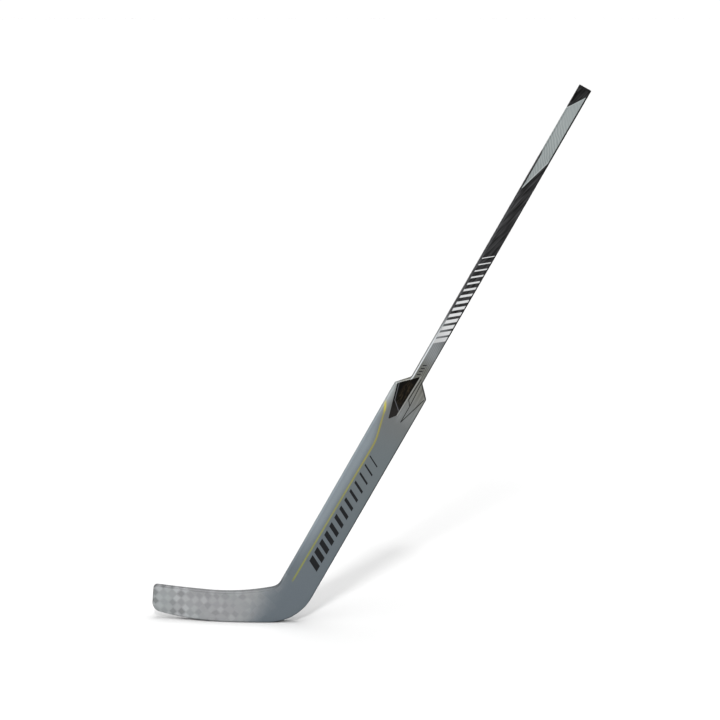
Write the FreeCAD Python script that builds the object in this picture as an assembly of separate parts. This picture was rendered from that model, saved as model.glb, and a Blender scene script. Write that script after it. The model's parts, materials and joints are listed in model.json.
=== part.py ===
"""Composite hockey goalie stick, modelled as the pieces that it is laid up and bonded from.

World frame, mm: +Z up, the flat of the sole rests on Z = 0 with its centre at the origin, the toe points
to -X, the shaft leans to +X and the front face looks to -Y.
Stick frame (u, v, w): u runs up the shaft from the heel corner, v across it towards the heel side with 0 on
the shaft's centre line, and w through it towards the rear face.
"""
import FreeCAD, Part
import math
import os

from FreeCAD import Vector

os.makedirs("parts", exist_ok=True)

# Whole stick
STICK_LENGTH = 1508.0  # heel corner to butt end, along the shaft
SHAFT_LEAN = 29.1  # degrees off vertical when the sole is flat on the ice
STICK_DEPTH = 22.0  # thickness shared by shaft, paddle and heel
EDGE_RADIUS = 5.0  # rounding of the long outer edges
SKIN = 1.6  # laminate thickness of paddle and blade

# Shaft tube and its fittings
SHAFT_WIDTH = 31.0
SHAFT_WALL = 2.4
TENON_LENGTH = 150.0  # tube bonded inside the paddle, below the neck
STEP_LENGTH = 6.0  # solid stretch of tube where the bore narrows into the tenon
FOOT_PLUG_LENGTH = 25.0
PLUG_HEAD = 6.0
PLUG_CROWN_RADIUS = 2.0
PLUG_STEM = 40.0
PLUG_WALL = 2.0
PLUG_CLEARANCE = 0.15  # per side, stem to bore

# Paddle
PADDLE_WIDTH = 88.5
PADDLE_LENGTH = 661.0  # heel corner to the outer corners of the shoulders
SHOULDER_RISE = 31.0  # outer corner of a shoulder up to the shaft
SHOULDER_RADIUS = 8.0
NECK_RADIUS = 10.0
COLLAR = 28.0  # skins carried up the shaft beyond the shoulders
SHOULDER_BLOCK = 34.0  # depth of the shoulder blocks below the outer corners
BEVEL_DROP = 3.0  # thickness lost at the toe-side edge, per face
BEVEL_WIDTH = 26.0  # crease to toe-side edge, low on the paddle
BEVEL_WIDTH_HIGH = 30.0  # the same just below the place where the bevel runs out
BEVEL_RUN_OUT_LOW = 50.0
BEVEL_RUN_OUT_HIGH = 120.0
BEVEL_TOP = 46.0  # below the outer corners of the shoulders
RAIL = 5.0
RIB = 3.0

# Finger grips and the shoulder recesses beside them
GRIP_DEPTH = 0.8
GRIP_PROUD = 0.5
GRIP_TOP = 13.0  # top point above the neck
GRIP_PAST_CENTRE = 1.9  # top point beyond the centre line
GRIP_EDGE = 4.5  # outer corner in from the paddle's side
GRIP_RIM = 1.1  # outer corner in from the sloping edge of the shoulder
GRIP_BELOW = 87.0  # lowest point below the outer corners of the shoulders
GRIP_FOOT = 14.7  # lowest point out from the centre line
GRIP_FOOT_RISE = 17.0  # lower edge, up to its inner end
GRIP_FOOT_INNER = 1.5  # inner end of the lower edge out from the centre line
GRIP_ROUND = 1.5
RECESS_DEPTH = 0.6
RECESS_EDGE = 6.0  # outer corner in from the paddle's side, and below the corner of the shoulder
SPINE_TOP = 9.0  # flush spine between grip and recess: width at the neck and at its foot
SPINE_FOOT = 17.5

# Heel and blade
BLADE_LENGTH = 372.0  # lower toe corner to heel corner, both before rounding
SOLE_FLAT = 100.0
HEEL_RADIUS = 126.5
HEEL_JOINT = 100.0  # where the blade moulding meets the paddle, along the shaft from the heel corner
THROAT_HEIGHT = 94.0
THROAT_RADIUS = 30.0
DIP_FROM_HEEL = 144.4  # place and height of the corner that the top edge is rounded from
DIP_HEIGHT = 75.8
TOE_HEIGHT = 88.4
TOE_LEAN = 6.5
TOE_TOP_RADIUS = 10.0
TOE_LOW_RADIUS = 24.0
ROCKER_RADIUS = 1000.0  # sole from its flat up to the toe
BETWEEN_ROUNDINGS = 1.0  # least straight stretch between two roundings of the side view
CURVE_START = 45.0  # X where the blade begins to curve to the rear
CURVE_DEPTH = 38.0  # how far the middle of the toe is carried to the rear
TOE_DEPTH = 14.0  # thickness at the toe
HEEL_BLOCK_X = 30.0  # front end of the heel block
TOE_INSERT = 45.0
SOLE_STRIP = 7.5
BLADE_RIB = 2.5
BLADE_RIB_HEIGHT = 44.0

# Derived places
LEAN = math.radians(SHAFT_LEAN)
ALONG = Vector(math.sin(LEAN), 0, math.cos(LEAN))
ACROSS = Vector(math.cos(LEAN), 0, -math.sin(LEAN))
DEEP = Vector(0, 1, 0)
UP = Vector(0, 0, 1)
HEEL_X = SOLE_FLAT / 2 + HEEL_RADIUS * math.tan((math.pi / 2 - LEAN) / 2)
AXIS_FOOT = Vector(HEEL_X, 0, 0) - ACROSS * (PADDLE_WIDTH / 2)
TOE_X = HEEL_X - BLADE_LENGTH
HALF_DEPTH = STICK_DEPTH / 2
HALF_PADDLE = PADDLE_WIDTH / 2
HALF_SHAFT = SHAFT_WIDTH / 2
NECK = PADDLE_LENGTH + SHOULDER_RISE
COLLAR_TOP = NECK + COLLAR
TENON_FOOT = NECK - TENON_LENGTH
BLOCK_FOOT = PADDLE_LENGTH - SHOULDER_BLOCK
TUBE_TOP = STICK_LENGTH - PLUG_HEAD
FAR = 400.0  # reach of cutting bodies
SHARP_ANGLE = 0.3  # radians between two faces that meet in an edge to be rounded


def at(u, v, w=0.0):
    """World point of a place in the stick frame."""
    return AXIS_FOOT + ALONG * u + ACROSS * v + DEEP * w


def half_angle(before, point, after):
    """Half of the angle between the two sides that meet at a corner."""
    return (before - point).getAngle(after - point) / 2


def rounded_wire(corners):
    """Closed wire through (point, radius) corners, each corner rounded by an arc; radius 0 keeps it sharp."""
    ends = []
    arcs = []
    for i, (point, radius) in enumerate(corners):
        before = corners[i - 1][0]
        after = corners[(i + 1) % len(corners)][0]
        back = (before - point).normalize()
        ahead = (after - point).normalize()
        half = half_angle(before, point, after)
        reach = radius / math.tan(half)
        start = point + back * reach
        end = point + ahead * reach
        ends.append((start, end))
        if radius:
            middle = point + (back + ahead).normalize() * (radius / math.sin(half) - radius)
            arcs.append(Part.Arc(start, middle, end).toShape())
        else:
            arcs.append(None)
    edges = []
    for i, arc in enumerate(arcs):
        if arc:
            edges.append(arc)
        edges.append(Part.makeLine(ends[i][1], ends[(i + 1) % len(ends)][0]))
    return Part.Wire(edges)


def prism(wire, travel):
    """Solid swept from a flat closed wire along a vector."""
    return Part.Face(wire).extrude(travel)


def section(u, width, depth, radius):
    """Rounded rectangle across the shaft at height u."""
    corners = [(1, -1), (1, 1), (-1, 1), (-1, -1)]
    return rounded_wire([(at(u, v * width / 2, w * depth / 2), radius) for v, w in corners])


def bar(low, high, width, depth, radius):
    """Rounded rectangular bar along the shaft."""
    return prism(section(low, width, depth, radius), ALONG * (high - low))


def block(low, high, left, right, front=-FAR, rear=FAR):
    """Box in the stick frame, used to cut pieces apart."""
    corners = [(low, left), (high, left), (high, right), (low, right)]
    return prism(rounded_wire([(at(u, v, front), 0) for u, v in corners]), DEEP * (rear - front))


def round_sharp_edges(solid, radius):
    """Fillet every edge where two faces meet at an angle."""
    sharp = []
    for edge in solid.Edges:
        middle = edge.valueAt((edge.FirstParameter + edge.LastParameter) / 2)
        faces = solid.ancestorsOfType(edge, Part.Face)
        normals = [face.normalAt(*face.Surface.parameter(middle)) for face in faces]
        if normals[0].getAngle(normals[1]) > SHARP_ANGLE:
            sharp.append(edge)
    return solid.makeFillet(radius, sharp)


def paddle_section(u, bevel_width, drop, inset):
    """Section of the paddle: flat faces, rounded sides and a bevel down to the toe-side edge."""
    half = HALF_PADDLE - inset
    deep = HALF_DEPTH - inset
    radius = EDGE_RADIUS - inset
    crease = bevel_width - HALF_PADDLE
    corners = [
        (half, -deep, radius),
        (half, deep, radius),
        (crease, deep, 0),
        (-half, deep - drop, radius),
        (-half, drop - deep, radius),
        (crease, -deep, 0),
    ]
    return rounded_wire([(at(u, v, w), r) for v, w, r in corners])


def paddle_body(inset):
    """Paddle and shoulders from the heel joint to the collar, drawn in by an inset on every side."""
    bevel_top = PADDLE_LENGTH - BEVEL_TOP
    stations = [
        (HEEL_JOINT, BEVEL_WIDTH, 0.0),
        (HEEL_JOINT + BEVEL_RUN_OUT_LOW, BEVEL_WIDTH, BEVEL_DROP),
        (bevel_top - BEVEL_RUN_OUT_HIGH, BEVEL_WIDTH_HIGH, BEVEL_DROP),
        (bevel_top, 2 * EDGE_RADIUS, 0.0),
        (BLOCK_FOOT, 2 * EDGE_RADIUS, 0.0),
    ]
    lower = Part.makeLoft([paddle_section(*station, inset) for station in stations], True, True)
    spare = 2 * NECK_RADIUS
    side = [
        (BLOCK_FOOT - spare, HALF_PADDLE, NECK_RADIUS),
        (PADDLE_LENGTH, HALF_PADDLE, SHOULDER_RADIUS),
        (NECK, HALF_SHAFT, NECK_RADIUS),
        (COLLAR_TOP + spare, HALF_SHAFT, EDGE_RADIUS),
    ]
    outline = [(u, -v, r) for u, v, r in side] + list(reversed(side))
    wire = rounded_wire([(at(u, v, inset - HALF_DEPTH), r) for u, v, r in outline])
    if inset:
        wire = wire.makeOffset2D(-inset)
    upper = round_sharp_edges(prism(wire, DEEP * (STICK_DEPTH - 2 * inset)), EDGE_RADIUS - inset)
    upper = upper.common(block(BLOCK_FOOT, COLLAR_TOP, -FAR, FAR))
    return lower.fuse(upper)


def blade_outline():
    """Side view of heel and blade, carried a little way up the paddle beyond the heel joint."""
    heel = Vector(HEEL_X, 0, 0)
    spare = HEEL_JOINT + 2 * EDGE_RADIUS
    edge_foot = at(0, -HALF_PADDLE)
    throat = edge_foot + ALONG * ((THROAT_HEIGHT - edge_foot.z) / math.cos(LEAN))
    dip = Vector(HEEL_X - DIP_FROM_HEEL, 0, DIP_HEIGHT)
    toe_top = Vector(TOE_X + TOE_LEAN, 0, TOE_HEIGHT)
    # The top edge is one arc from the dip to the start of the throat
    throat_reach = THROAT_RADIUS / math.tan(half_angle(dip, throat, throat + ALONG))
    dip_reach = throat.distanceToPoint(dip) - throat_reach - BETWEEN_ROUNDINGS
    dip_radius = dip_reach * math.tan(half_angle(toe_top, dip, throat))
    # The sole is one arc from its flat to the start of the toe
    flat_end = -SOLE_FLAT / 2
    rocker_angle = math.asin((flat_end - TOE_X - TOE_LOW_RADIUS - BETWEEN_ROUNDINGS) / ROCKER_RADIUS)
    rocker = Vector(flat_end - ROCKER_RADIUS * math.tan(rocker_angle / 2), 0, 0)
    toe_low = Vector(TOE_X, 0, (rocker.x - TOE_X) * math.tan(rocker_angle))
    return rounded_wire(
        [
            (heel, HEEL_RADIUS),
            (at(spare, HALF_PADDLE), EDGE_RADIUS),
            (at(spare, -HALF_PADDLE), EDGE_RADIUS),
            (throat, THROAT_RADIUS),
            (dip, dip_radius),
            (toe_top, TOE_TOP_RADIUS),
            (toe_low, TOE_LOW_RADIUS),
            (rocker, ROCKER_RADIUS),
        ]
    )


def bend(side):
    """Plan curve of one blade face: an arc that leaves the flat stick at CURVE_START and reaches the toe.

    side is -1 for the front face, 0 for the middle and 1 for the rear face.
    """
    start = Vector(CURVE_START, side * HALF_DEPTH, 0)
    rise = CURVE_DEPTH + side * (TOE_DEPTH - STICK_DEPTH) / 2
    run = CURVE_START - TOE_X
    radius = (run * run + rise * rise) / (2 * rise)
    past_toe = math.asin(run / radius) + math.radians(1.0)
    points = []
    for share in (0.0, 0.5, 1.0):
        turn = past_toe * share
        points.append(start + Vector(-radius * math.sin(turn), radius * (1 - math.cos(turn)), 0))
    return Part.Arc(*points).toShape()


def plan_band(front_edge, rear_edge, inset):
    """Region between two plan curves, carried straight on past the heel and swept up through the blade."""
    corners = []
    for edge in (front_edge, rear_edge):
        ends = [edge.valueAt(edge.FirstParameter), edge.valueAt(edge.LastParameter)]
        ends.sort(key=lambda point: -point.x)
        corners.append([Vector(FAR, ends[0].y, 0)] + ends)
    front, rear = corners
    wire = Part.Wire(
        Part.__sortEdges__(
            [
                front_edge,
                Part.makeLine(front[2], rear[2]),
                rear_edge,
                Part.makeLine(rear[1], rear[0]),
                Part.makeLine(rear[0], front[0]),
                Part.makeLine(front[0], front[1]),
            ]
        )
    )
    if inset:
        wire = wire.makeOffset2D(-inset)
    band = prism(wire, UP * FAR)
    band.translate(UP * (-FAR / 4))
    return band


def blade_body(inset):
    """Heel and blade up to the heel joint, drawn in by an inset on every side."""
    wire = blade_outline()
    if inset:
        wire = wire.makeOffset2D(-inset)
    side_view = prism(wire, DEEP * FAR)
    side_view.translate(DEEP * (-FAR / 2))
    body = side_view.common(plan_band(bend(-1), bend(1), inset))
    body = round_sharp_edges(body, EDGE_RADIUS - inset)
    return body.common(block(-FAR, HEEL_JOINT, -2 * FAR, FAR))


def only(shape):
    """The single solid inside a result."""
    solids = shape.Solids
    if len(solids) != 1:
        raise ValueError("expected one solid, found %d" % len(solids))
    return solids[0]


def shaft_tube():
    """Box tube with a slimmer tenon below the collar."""
    slim = 2 * SKIN
    wall = 2 * SHAFT_WALL
    tube = bar(COLLAR_TOP, TUBE_TOP, SHAFT_WIDTH, STICK_DEPTH, EDGE_RADIUS)
    tube = tube.fuse(bar(TENON_FOOT, COLLAR_TOP, SHAFT_WIDTH - slim, STICK_DEPTH - slim, EDGE_RADIUS - SKIN))
    tube = tube.cut(tube_bore(COLLAR_TOP + STEP_LENGTH, TUBE_TOP, 0.0))
    return tube.cut(tenon_bore(TENON_FOOT, COLLAR_TOP + STEP_LENGTH))


def tube_bore(low, high, clearance):
    """Space inside the tube, less a clearance per side."""
    less = 2 * (SHAFT_WALL + clearance)
    return bar(low, high, SHAFT_WIDTH - less, STICK_DEPTH - less, EDGE_RADIUS - SHAFT_WALL - clearance)


def tenon_bore(low, high):
    """Space inside the tenon."""
    less = 2 * (SKIN + SHAFT_WALL)
    return bar(low, high, SHAFT_WIDTH - less, STICK_DEPTH - less, EDGE_RADIUS - SKIN - SHAFT_WALL)


def butt_end_plug():
    """Cap on the tube's end with a hollow stem inside the bore."""
    head = bar(TUBE_TOP, STICK_LENGTH, SHAFT_WIDTH, STICK_DEPTH, EDGE_RADIUS)
    middle = STICK_LENGTH - PLUG_HEAD / 4
    crown = [edge for edge in head.Edges if (edge.CenterOfMass - AXIS_FOOT).dot(ALONG) > middle]
    head = head.makeFillet(PLUG_CROWN_RADIUS, crown)
    stem = tube_bore(TUBE_TOP - PLUG_STEM, TUBE_TOP, PLUG_CLEARANCE)
    hollow = tube_bore(TUBE_TOP - PLUG_STEM, TUBE_TOP, PLUG_CLEARANCE + PLUG_WALL)
    return head.fuse(stem.cut(hollow))


def mirrored(shape):
    """The same shape on the rear face."""
    return shape.mirror(Vector(0, 0, 0), DEEP)


def grip_pocket():
    """Space over the pocket floor of the front finger grip, which follows the shoulder's rounded edge."""
    slope = math.atan2(SHOULDER_RISE, HALF_PADDLE - HALF_SHAFT)
    corner = PADDLE_LENGTH + GRIP_EDGE * math.tan(slope) - GRIP_RIM / math.cos(slope)
    outline = [
        (NECK + GRIP_TOP, GRIP_PAST_CENTRE),
        (corner, GRIP_EDGE - HALF_PADDLE),
        (PADDLE_LENGTH - GRIP_BELOW, -GRIP_FOOT),
        (PADDLE_LENGTH - GRIP_BELOW + GRIP_FOOT_RISE, -GRIP_FOOT_INNER),
    ]
    wire = rounded_wire([(at(u, v, -STICK_DEPTH), GRIP_ROUND) for u, v in outline])
    return prism(wire, DEEP * STICK_DEPTH).cut(paddle_body(GRIP_DEPTH))


def shoulder_recess():
    """Shallow triangular recess on the heel side of the front face."""
    outline = [
        (NECK, GRIP_PAST_CENTRE + SPINE_TOP),
        (PADDLE_LENGTH - GRIP_BELOW + GRIP_FOOT_RISE, SPINE_FOOT - GRIP_FOOT_INNER),
        (PADDLE_LENGTH - RECESS_EDGE, HALF_PADDLE - RECESS_EDGE),
    ]
    wire = rounded_wire([(at(u, v, -STICK_DEPTH), GRIP_ROUND) for u, v in outline])
    return prism(wire, DEEP * (HALF_DEPTH + RECESS_DEPTH))


pieces = {}

# Shaft
pieces["shaft_tube"] = shaft_tube()
pieces["shaft_foot_plug"] = tenon_bore(TENON_FOOT, TENON_FOOT + FOOT_PLUG_LENGTH)
pieces["butt_end_plug"] = butt_end_plug()

# Paddle skins and finger grips
inside = paddle_body(SKIN)
shell = paddle_body(0.0).cut(inside)
pocket = grip_pocket()
front_skin = shell.common(block(0, STICK_LENGTH, -FAR, FAR, -FAR, 0)).cut(pocket.fuse(shoulder_recess()))
grip = pocket.common(paddle_body(-GRIP_PROUD))
pieces["paddle_front_skin"] = front_skin
pieces["paddle_rear_skin"] = mirrored(front_skin)
pieces["front_finger_grip"] = grip
pieces["rear_finger_grip"] = mirrored(grip)

# Paddle inside
rail_edge = HALF_PADDLE - SKIN - RAIL
socket = block(TENON_FOOT, COLLAR_TOP, SKIN - HALF_SHAFT, HALF_SHAFT - SKIN)
pieces["toe_side_rail"] = inside.common(block(HEEL_JOINT, BLOCK_FOOT, -FAR, -rail_edge))
pieces["heel_side_rail"] = inside.common(block(HEEL_JOINT, BLOCK_FOOT, rail_edge, FAR))
pieces["paddle_centre_rib"] = inside.common(block(HEEL_JOINT, TENON_FOOT, -RIB / 2, RIB / 2))
pieces["toe_side_core"] = inside.common(block(HEEL_JOINT, BLOCK_FOOT, -rail_edge, -RIB / 2)).cut(socket)
pieces["heel_side_core"] = inside.common(block(HEEL_JOINT, BLOCK_FOOT, RIB / 2, rail_edge)).cut(socket)
pieces["toe_side_shoulder_block"] = inside.common(block(BLOCK_FOOT, NECK, -FAR, 0)).cut(socket)
pieces["heel_side_shoulder_block"] = inside.common(block(BLOCK_FOOT, NECK, 0, FAR)).cut(socket)

# Blade skins
inside = blade_body(SKIN)
shell = blade_body(0.0).cut(inside)
far_front = Part.makeLine(Vector(CURVE_START, -FAR, 0), Vector(TOE_X - TOE_INSERT, -FAR, 0))
front_side = plan_band(far_front, bend(0), 0.0)
pieces["blade_front_skin"] = shell.common(front_side)
pieces["blade_rear_skin"] = shell.cut(front_side)

# Blade inside
tip_x = TOE_X + TOE_INSERT
middle = Part.makeBox(HEEL_BLOCK_X - tip_x, 2 * FAR, FAR, Vector(tip_x, -FAR, -FAR / 2))
heel_side = Part.makeBox(FAR, 2 * FAR, FAR, Vector(HEEL_BLOCK_X, -FAR, -FAR / 2))
toe_side = Part.makeBox(FAR, 2 * FAR, FAR, Vector(tip_x - FAR, -FAR, -FAR / 2))
web = Part.makeBox(2 * FAR, 2 * FAR, BLADE_RIB, Vector(-FAR, -FAR, BLADE_RIB_HEIGHT))
upper_space = Part.makeBox(2 * FAR, 2 * FAR, FAR, Vector(-FAR, -FAR, BLADE_RIB_HEIGHT + BLADE_RIB))
lower_space = Part.makeBox(2 * FAR, 2 * FAR, FAR, Vector(-FAR, -FAR, BLADE_RIB_HEIGHT - FAR))
above_strip = inside.translated(UP * SOLE_STRIP)
filling = inside.common(middle)
pieces["heel_block"] = inside.common(heel_side)
pieces["blade_toe_insert"] = inside.common(toe_side)
pieces["blade_rib"] = filling.common(web)
pieces["blade_upper_core"] = filling.common(upper_space)
pieces["blade_lower_core"] = filling.common(lower_space).common(above_strip)
pieces["blade_sole_strip"] = filling.common(lower_space).cut(above_strip)

for name, shape in pieces.items():
    only(shape).exportStep("parts/%s.step" % name)
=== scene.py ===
"""Looks of a composite hockey goalie stick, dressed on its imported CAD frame.

Lengths are metres in the frame's axes: +Z up, the front face looks to -Y and the toe points to -X.
Paint and weave are drawn in the stick's own axes: along (up the shaft from the heel corner), across
(towards the heel side, 0 on the shaft's centre line) and deep (through the stick towards the rear face).
"""
import json
import math

import bmesh
import bpy
import numpy as np
from mathutils import Matrix, Vector


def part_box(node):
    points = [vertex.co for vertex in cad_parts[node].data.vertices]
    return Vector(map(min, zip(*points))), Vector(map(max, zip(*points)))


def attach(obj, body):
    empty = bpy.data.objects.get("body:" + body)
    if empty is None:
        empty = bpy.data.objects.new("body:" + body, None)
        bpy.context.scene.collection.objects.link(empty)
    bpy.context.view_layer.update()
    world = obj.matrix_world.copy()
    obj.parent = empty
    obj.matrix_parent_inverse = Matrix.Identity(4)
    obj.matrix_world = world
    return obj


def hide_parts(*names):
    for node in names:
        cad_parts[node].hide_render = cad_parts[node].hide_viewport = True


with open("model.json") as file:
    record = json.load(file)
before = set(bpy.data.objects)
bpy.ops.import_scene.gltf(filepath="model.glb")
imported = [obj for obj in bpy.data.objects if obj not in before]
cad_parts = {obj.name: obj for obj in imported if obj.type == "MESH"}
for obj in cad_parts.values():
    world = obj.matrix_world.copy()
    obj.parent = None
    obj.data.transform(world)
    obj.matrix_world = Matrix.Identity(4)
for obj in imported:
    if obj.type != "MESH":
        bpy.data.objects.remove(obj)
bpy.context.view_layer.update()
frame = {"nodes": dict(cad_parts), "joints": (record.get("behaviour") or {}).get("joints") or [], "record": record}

# Stick axes, from the frame
HAND_HEIGHT = 0.780  # the mount hand_grip, along the shaft from the heel corner
SHAFT_AXIS = Vector(frame["joints"][0]["axis"]).normalized()
HAND = next(Vector(mount["pos_m"]) for mount in frame["record"]["mounts"] if mount["name"] == "hand_grip")
HEEL = HAND - SHAFT_AXIS * HAND_HEIGHT  # where along, across and deep are 0
LEAN = math.atan2(SHAFT_AXIS.x, SHAFT_AXIS.z)
TURN = Matrix.Rotation(-LEAN, 3, "Y")  # frame axes to (across, deep, along)

# Main sizes
HALF_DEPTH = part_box("shaft_tube")[1].y
HALF_SHAFT = 0.0155
HALF_PADDLE = 0.04425
EDGE_RADIUS = 0.005
SHOULDER = 0.661  # outer corners of the shoulders, along
NECK = 0.692

# Rounded edges, told by parts of the surface normal, where painted highlights and painted shade go and where the
# pinstripe stays on the flat faces; a band has the softness of its ends as third number
SLOPE_UP = (0.20, 0.50)  # part up the shaft, on the sloping shoulders
SIDEWAYS = (0.02, 0.15)  # part out to one side
TOE_SIDE_FACING = (0.50, 0.95, 0.04)  # part to the front or rear, here and below
TOE_OUTLINE_FACING = (0.12, 0.46, 0.06)
HEEL_SIDE_FACING = (0.22, 0.90, 0.07)
HEEL_SLOPE_FACING = (0.15, 0.97, 0.02)
STRIPE_FACING = (0.20, 0.50)
# Faces of the blade that get painted shade
BLADE_SHADE_UP = (-0.05, 0.55)
BLADE_SHADE_TOEWARD = (-0.45, -0.70)

# Hairline scuffs in the clear coat
SCUFF_LINES = (900.0, 24.0)  # per metre, across and along
SCUFF_CUT = (0.17, 0.26)  # noise levels that become a scuff
SCUFF_GATE = (0.02, 0.20)  # and that let scuffs in

# Silver ground
HIGHLIGHT_EDGE_START = (0.655, 0.700)  # along: a painted highlight lies on the toe-side edge from here up
SHADED_EDGE_START = (-0.15, 0.45)  # along: painted shade on the heel-side edge grows up the stick
NECK_PANEL = (0.585, 0.735, 0.02)  # along: brushed panel on the heel half, with the softness of its ends
NECK_PANEL_EDGE = (-0.004, 0.006)  # across
NECK_PANEL_LIGHT = (0.70, 0.66)  # along: lighter below
BRUSH_LINES = (430.0, 5.0)  # per metre, across and along
HATCH_START = (0.69, 0.72)
HATCH_PITCH = 0.0048
HATCH_SLANT = math.radians(32.0)  # of the hatch lines' normal, off the shaft
FLAKE_CELLS = 2200.0  # per metre

# Paint on the shaft: places along it, slants and widths
SILVER_END = (0.775, 0.875)  # silver of the paddle fading into the black of the shaft
SILVER_END_SLANT = 1.1
SHAFT_BARS = {
    "Start": 0.800,
    "End": 1.052,
    "Count": 14.0,
    "Slant": -0.8,
    "Thick": 0.0125,
    "Thin": 0.0025,
    "Low": -0.0118,
    "High": 0.0118,
}
TACKY_FOOT = 1.2705  # slanted lower edge of the tacky grey stretch, on the centre line
TACKY_FOOT_SLANT = 3.35
TACKY_TOP = 1.4715
TACKY_TOP_SLANT = 1.50
TACKY_HEEL_MARGIN = 0.0042  # black left bare on its heel side
TACKY_TOE_MARGIN = 0.0022  # and on its toe side, up to the wrap
TACKY_WRAP = 1.328  # from here up the grey goes round the toe-side edge
TACKY_WRAP_SOFT = 0.012
TACKY_OVERLAP = 0.001  # past the toe side, where it wraps
TACKY_END_SOFT = 0.0012
TACKY_HIGHLIGHT = (0.009, 0.004)  # painted highlight inside both slanted edges
TACKY_HIGHLIGHT_TOP = 2.2  # times narrower at the top
TACKY_HATCH = 0.0085
TACKY_HATCH_SLANT = 0.8
TACKY_HATCH_WAVER = 0.012
TACKY_HATCH_FADE = (1.43, 1.38)
TACKY_LIGHTER = (1.25, 1.42)
BUTT_SHADE = 0.02  # the black darkens over this length below the top of the grey
TOE_HIGHLIGHT_END = 0.05  # the painted highlight on the toe-side edge fades out over this length below the grey
TICKS = ((0.7351, -0.0024), (0.7262, -0.0030), (0.7173, -0.0036), (0.7086, -0.0042))  # (along, across)
TICK_REACH = (0.0023, 0.0041)  # from a middle to an end
TICK_WIDTH = 0.0024
PRINT_SOFT = 0.0003  # softness of printed edges
CARBON_SLANT = math.radians(14.0)
STREAKS = (210.0, 17.0)  # per metre, across and along the fibres
FIBRES = (2400.0, 30.0)

# Paint on the paddle
STRIPE_START = 0.086
STRIPE_START_SOFT = 0.012
STRIPE_LOW = (0.106, -0.0197)  # pinstripe on the bevel's crease: (along, across)
STRIPE_HIGH = (0.511, -0.0142)
STRIPE_TURN = 0.26  # slope of its upper end out to the shoulder
STRIPE_TURN_SOFT = 0.03
STRIPE_TIP = 0.590
STRIPE_TIP_TURN = 0.18  # added slope of its bright tip
STRIPE_TIP_WIDER = 0.0008  # added half width of its tip
STRIPE_TIP_SOFT = (-0.012, 0.008)
STRIPE_END = 0.618
STRIPE_END_SOFT = 0.018
STRIPE_WIDTH = 0.0040
STRIPE_COVER = 0.85
BEVEL_OFF_STRIPE = (0.004, -0.016)  # across, from the pinstripe into the lighter bevel, part paint fade and part painted highlight
BEVEL_START = (0.10, 0.275)
HIGHLIGHT_ACROSS = (-0.024, -HALF_PADDLE)  # painted highlight in the bevel's corner under the shoulder
HIGHLIGHT_ALONG = (0.60, SHOULDER, 0.05)
PADDLE_BARS = {
    "Start": 0.150,
    "End": 0.478,
    "Count": 13.0,
    "Slant": 0.55,
    "Thick": 0.0175,
    "Thin": 0.0035,
    "Low": -0.0085,
    "High": 0.0215,
}
# Dark shoulder lines: print, and partly painted shade along the recess steps
SHOULDER_LINES = (
    ((0.700, 0.0075), (0.641, 0.0055)),
    ((0.641, 0.0055), (0.628, 0.0155)),
    ((0.696, 0.0125), (0.628, 0.0160)),
    ((0.628, 0.0160), (0.581, 0.0160)),
    ((0.658, 0.0390), (0.581, 0.0160)),
)
SHOULDER_LINE_WIDTH = 0.0020
SPINE_HIGHLIGHT = ((0.707, 0.0036), (0.592, 0.0002))  # pale painted highlight along the spine beside the finger grip
SPINE_HIGHLIGHT_WIDTH = 0.0016

# Blade weave, as places in X and Z
TOW = 0.016  # width of the spread tows, laid at 45 degrees
TOW_FIBRES = (1.5, 42.0)  # per tow's width, along and across the tow
TOW_STRAY = (-0.20, -0.08)  # X: the tows wander more towards the heel
WEAVE_FADE = (0.0725, -0.0175)  # X from bare slate paint to full weave, half way up the blade
WEAVE_FADE_TILT = 0.54
WEAVE_MIDDLE = 0.040  # half way up the blade
WEAVE_CLEAR = (0.05, -0.20)  # X: the chequer grows clearer towards the toe
WEAVE_REGULAR = (-0.08, -0.22)  # X: and more regular
RAGGED_BY_TOW = 0.016  # how far single tows and patches move the fade
RAGGED_BY_PATCH = 0.05
BLADE_SHADE_END = (0.098, 0.068)  # the painted shade on the blade's upward and toe-end faces fades out round the throat, along the shaft

# Finger grips: corners as (along, across), from the top round by the outer corner
PAD_CORNERS = ((0.705, 0.0019), (0.66423, -0.03975), (0.574, -0.0147), (0.591, -0.0015))
PAD_ROUND = 0.0015
PAD_ARC_STEPS = 4  # in half a corner's arc
PAD_GRID = (90, 230)
PAD_CLEARANCE = 0.0001
PAD_DEPTH = 0.0008  # into the skin
PAD_PROUD = 0.0005
PAD_EDGE_ROUND = 0.0012
PAD_SHARP = math.radians(50.0)
PAD_CREASE = ((0.6675, -0.0362), (0.6240, -0.0241), (0.6044, -0.0024))
PAD_CREASE_RISE = 0.00018
PAD_CREASE_WIDTH = 0.0009
PAD_FALL = 0.022  # slope of the two narrow facets beyond the crease
PAD_FALL_WIDTH = 0.012
PAD_NUB = 0.0032
PAD_NUB_RISE = 0.00014
PAD_NUB_FROM_CREASE = 0.0015
PAD_NUB_FROM_RIM = 0.002
PAD_NUB_SOFT = 0.001
WORN_ALONG = (0.620, 0.680, 0.02)  # browned by the hand, on the main facet
WORN_ACROSS = (-0.021, -0.003, 0.006)
WORN_FLECKS = (120.0, 400.0)  # per metre, along and across
PAD_FOOT = (0.628, 0.600)  # along: greyer below

# Inner pieces
RAIL_FIBRES = (3000.0, 25.0)  # per metre, across and along
FOAM_PITS = 900.0
RESIN_SPECKS = 1300.0

# Heights of fine relief
FLAKE_RELIEF = 0.000001
FIBRE_RELIEF = 0.000004
TOW_FIBRE_RELIEF = 0.000012
PRINT_RELIEF = 0.00002
STRIPE_RELIEF = 0.00003
TACKY_RELIEF = 0.00003
GRAIN_RELIEF = 0.00004
TOW_RELIEF = 0.00004
RESIN_RELIEF = 0.00005
COAT_RELIEF = 0.00006
FOAM_RELIEF = 0.0002

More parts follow.
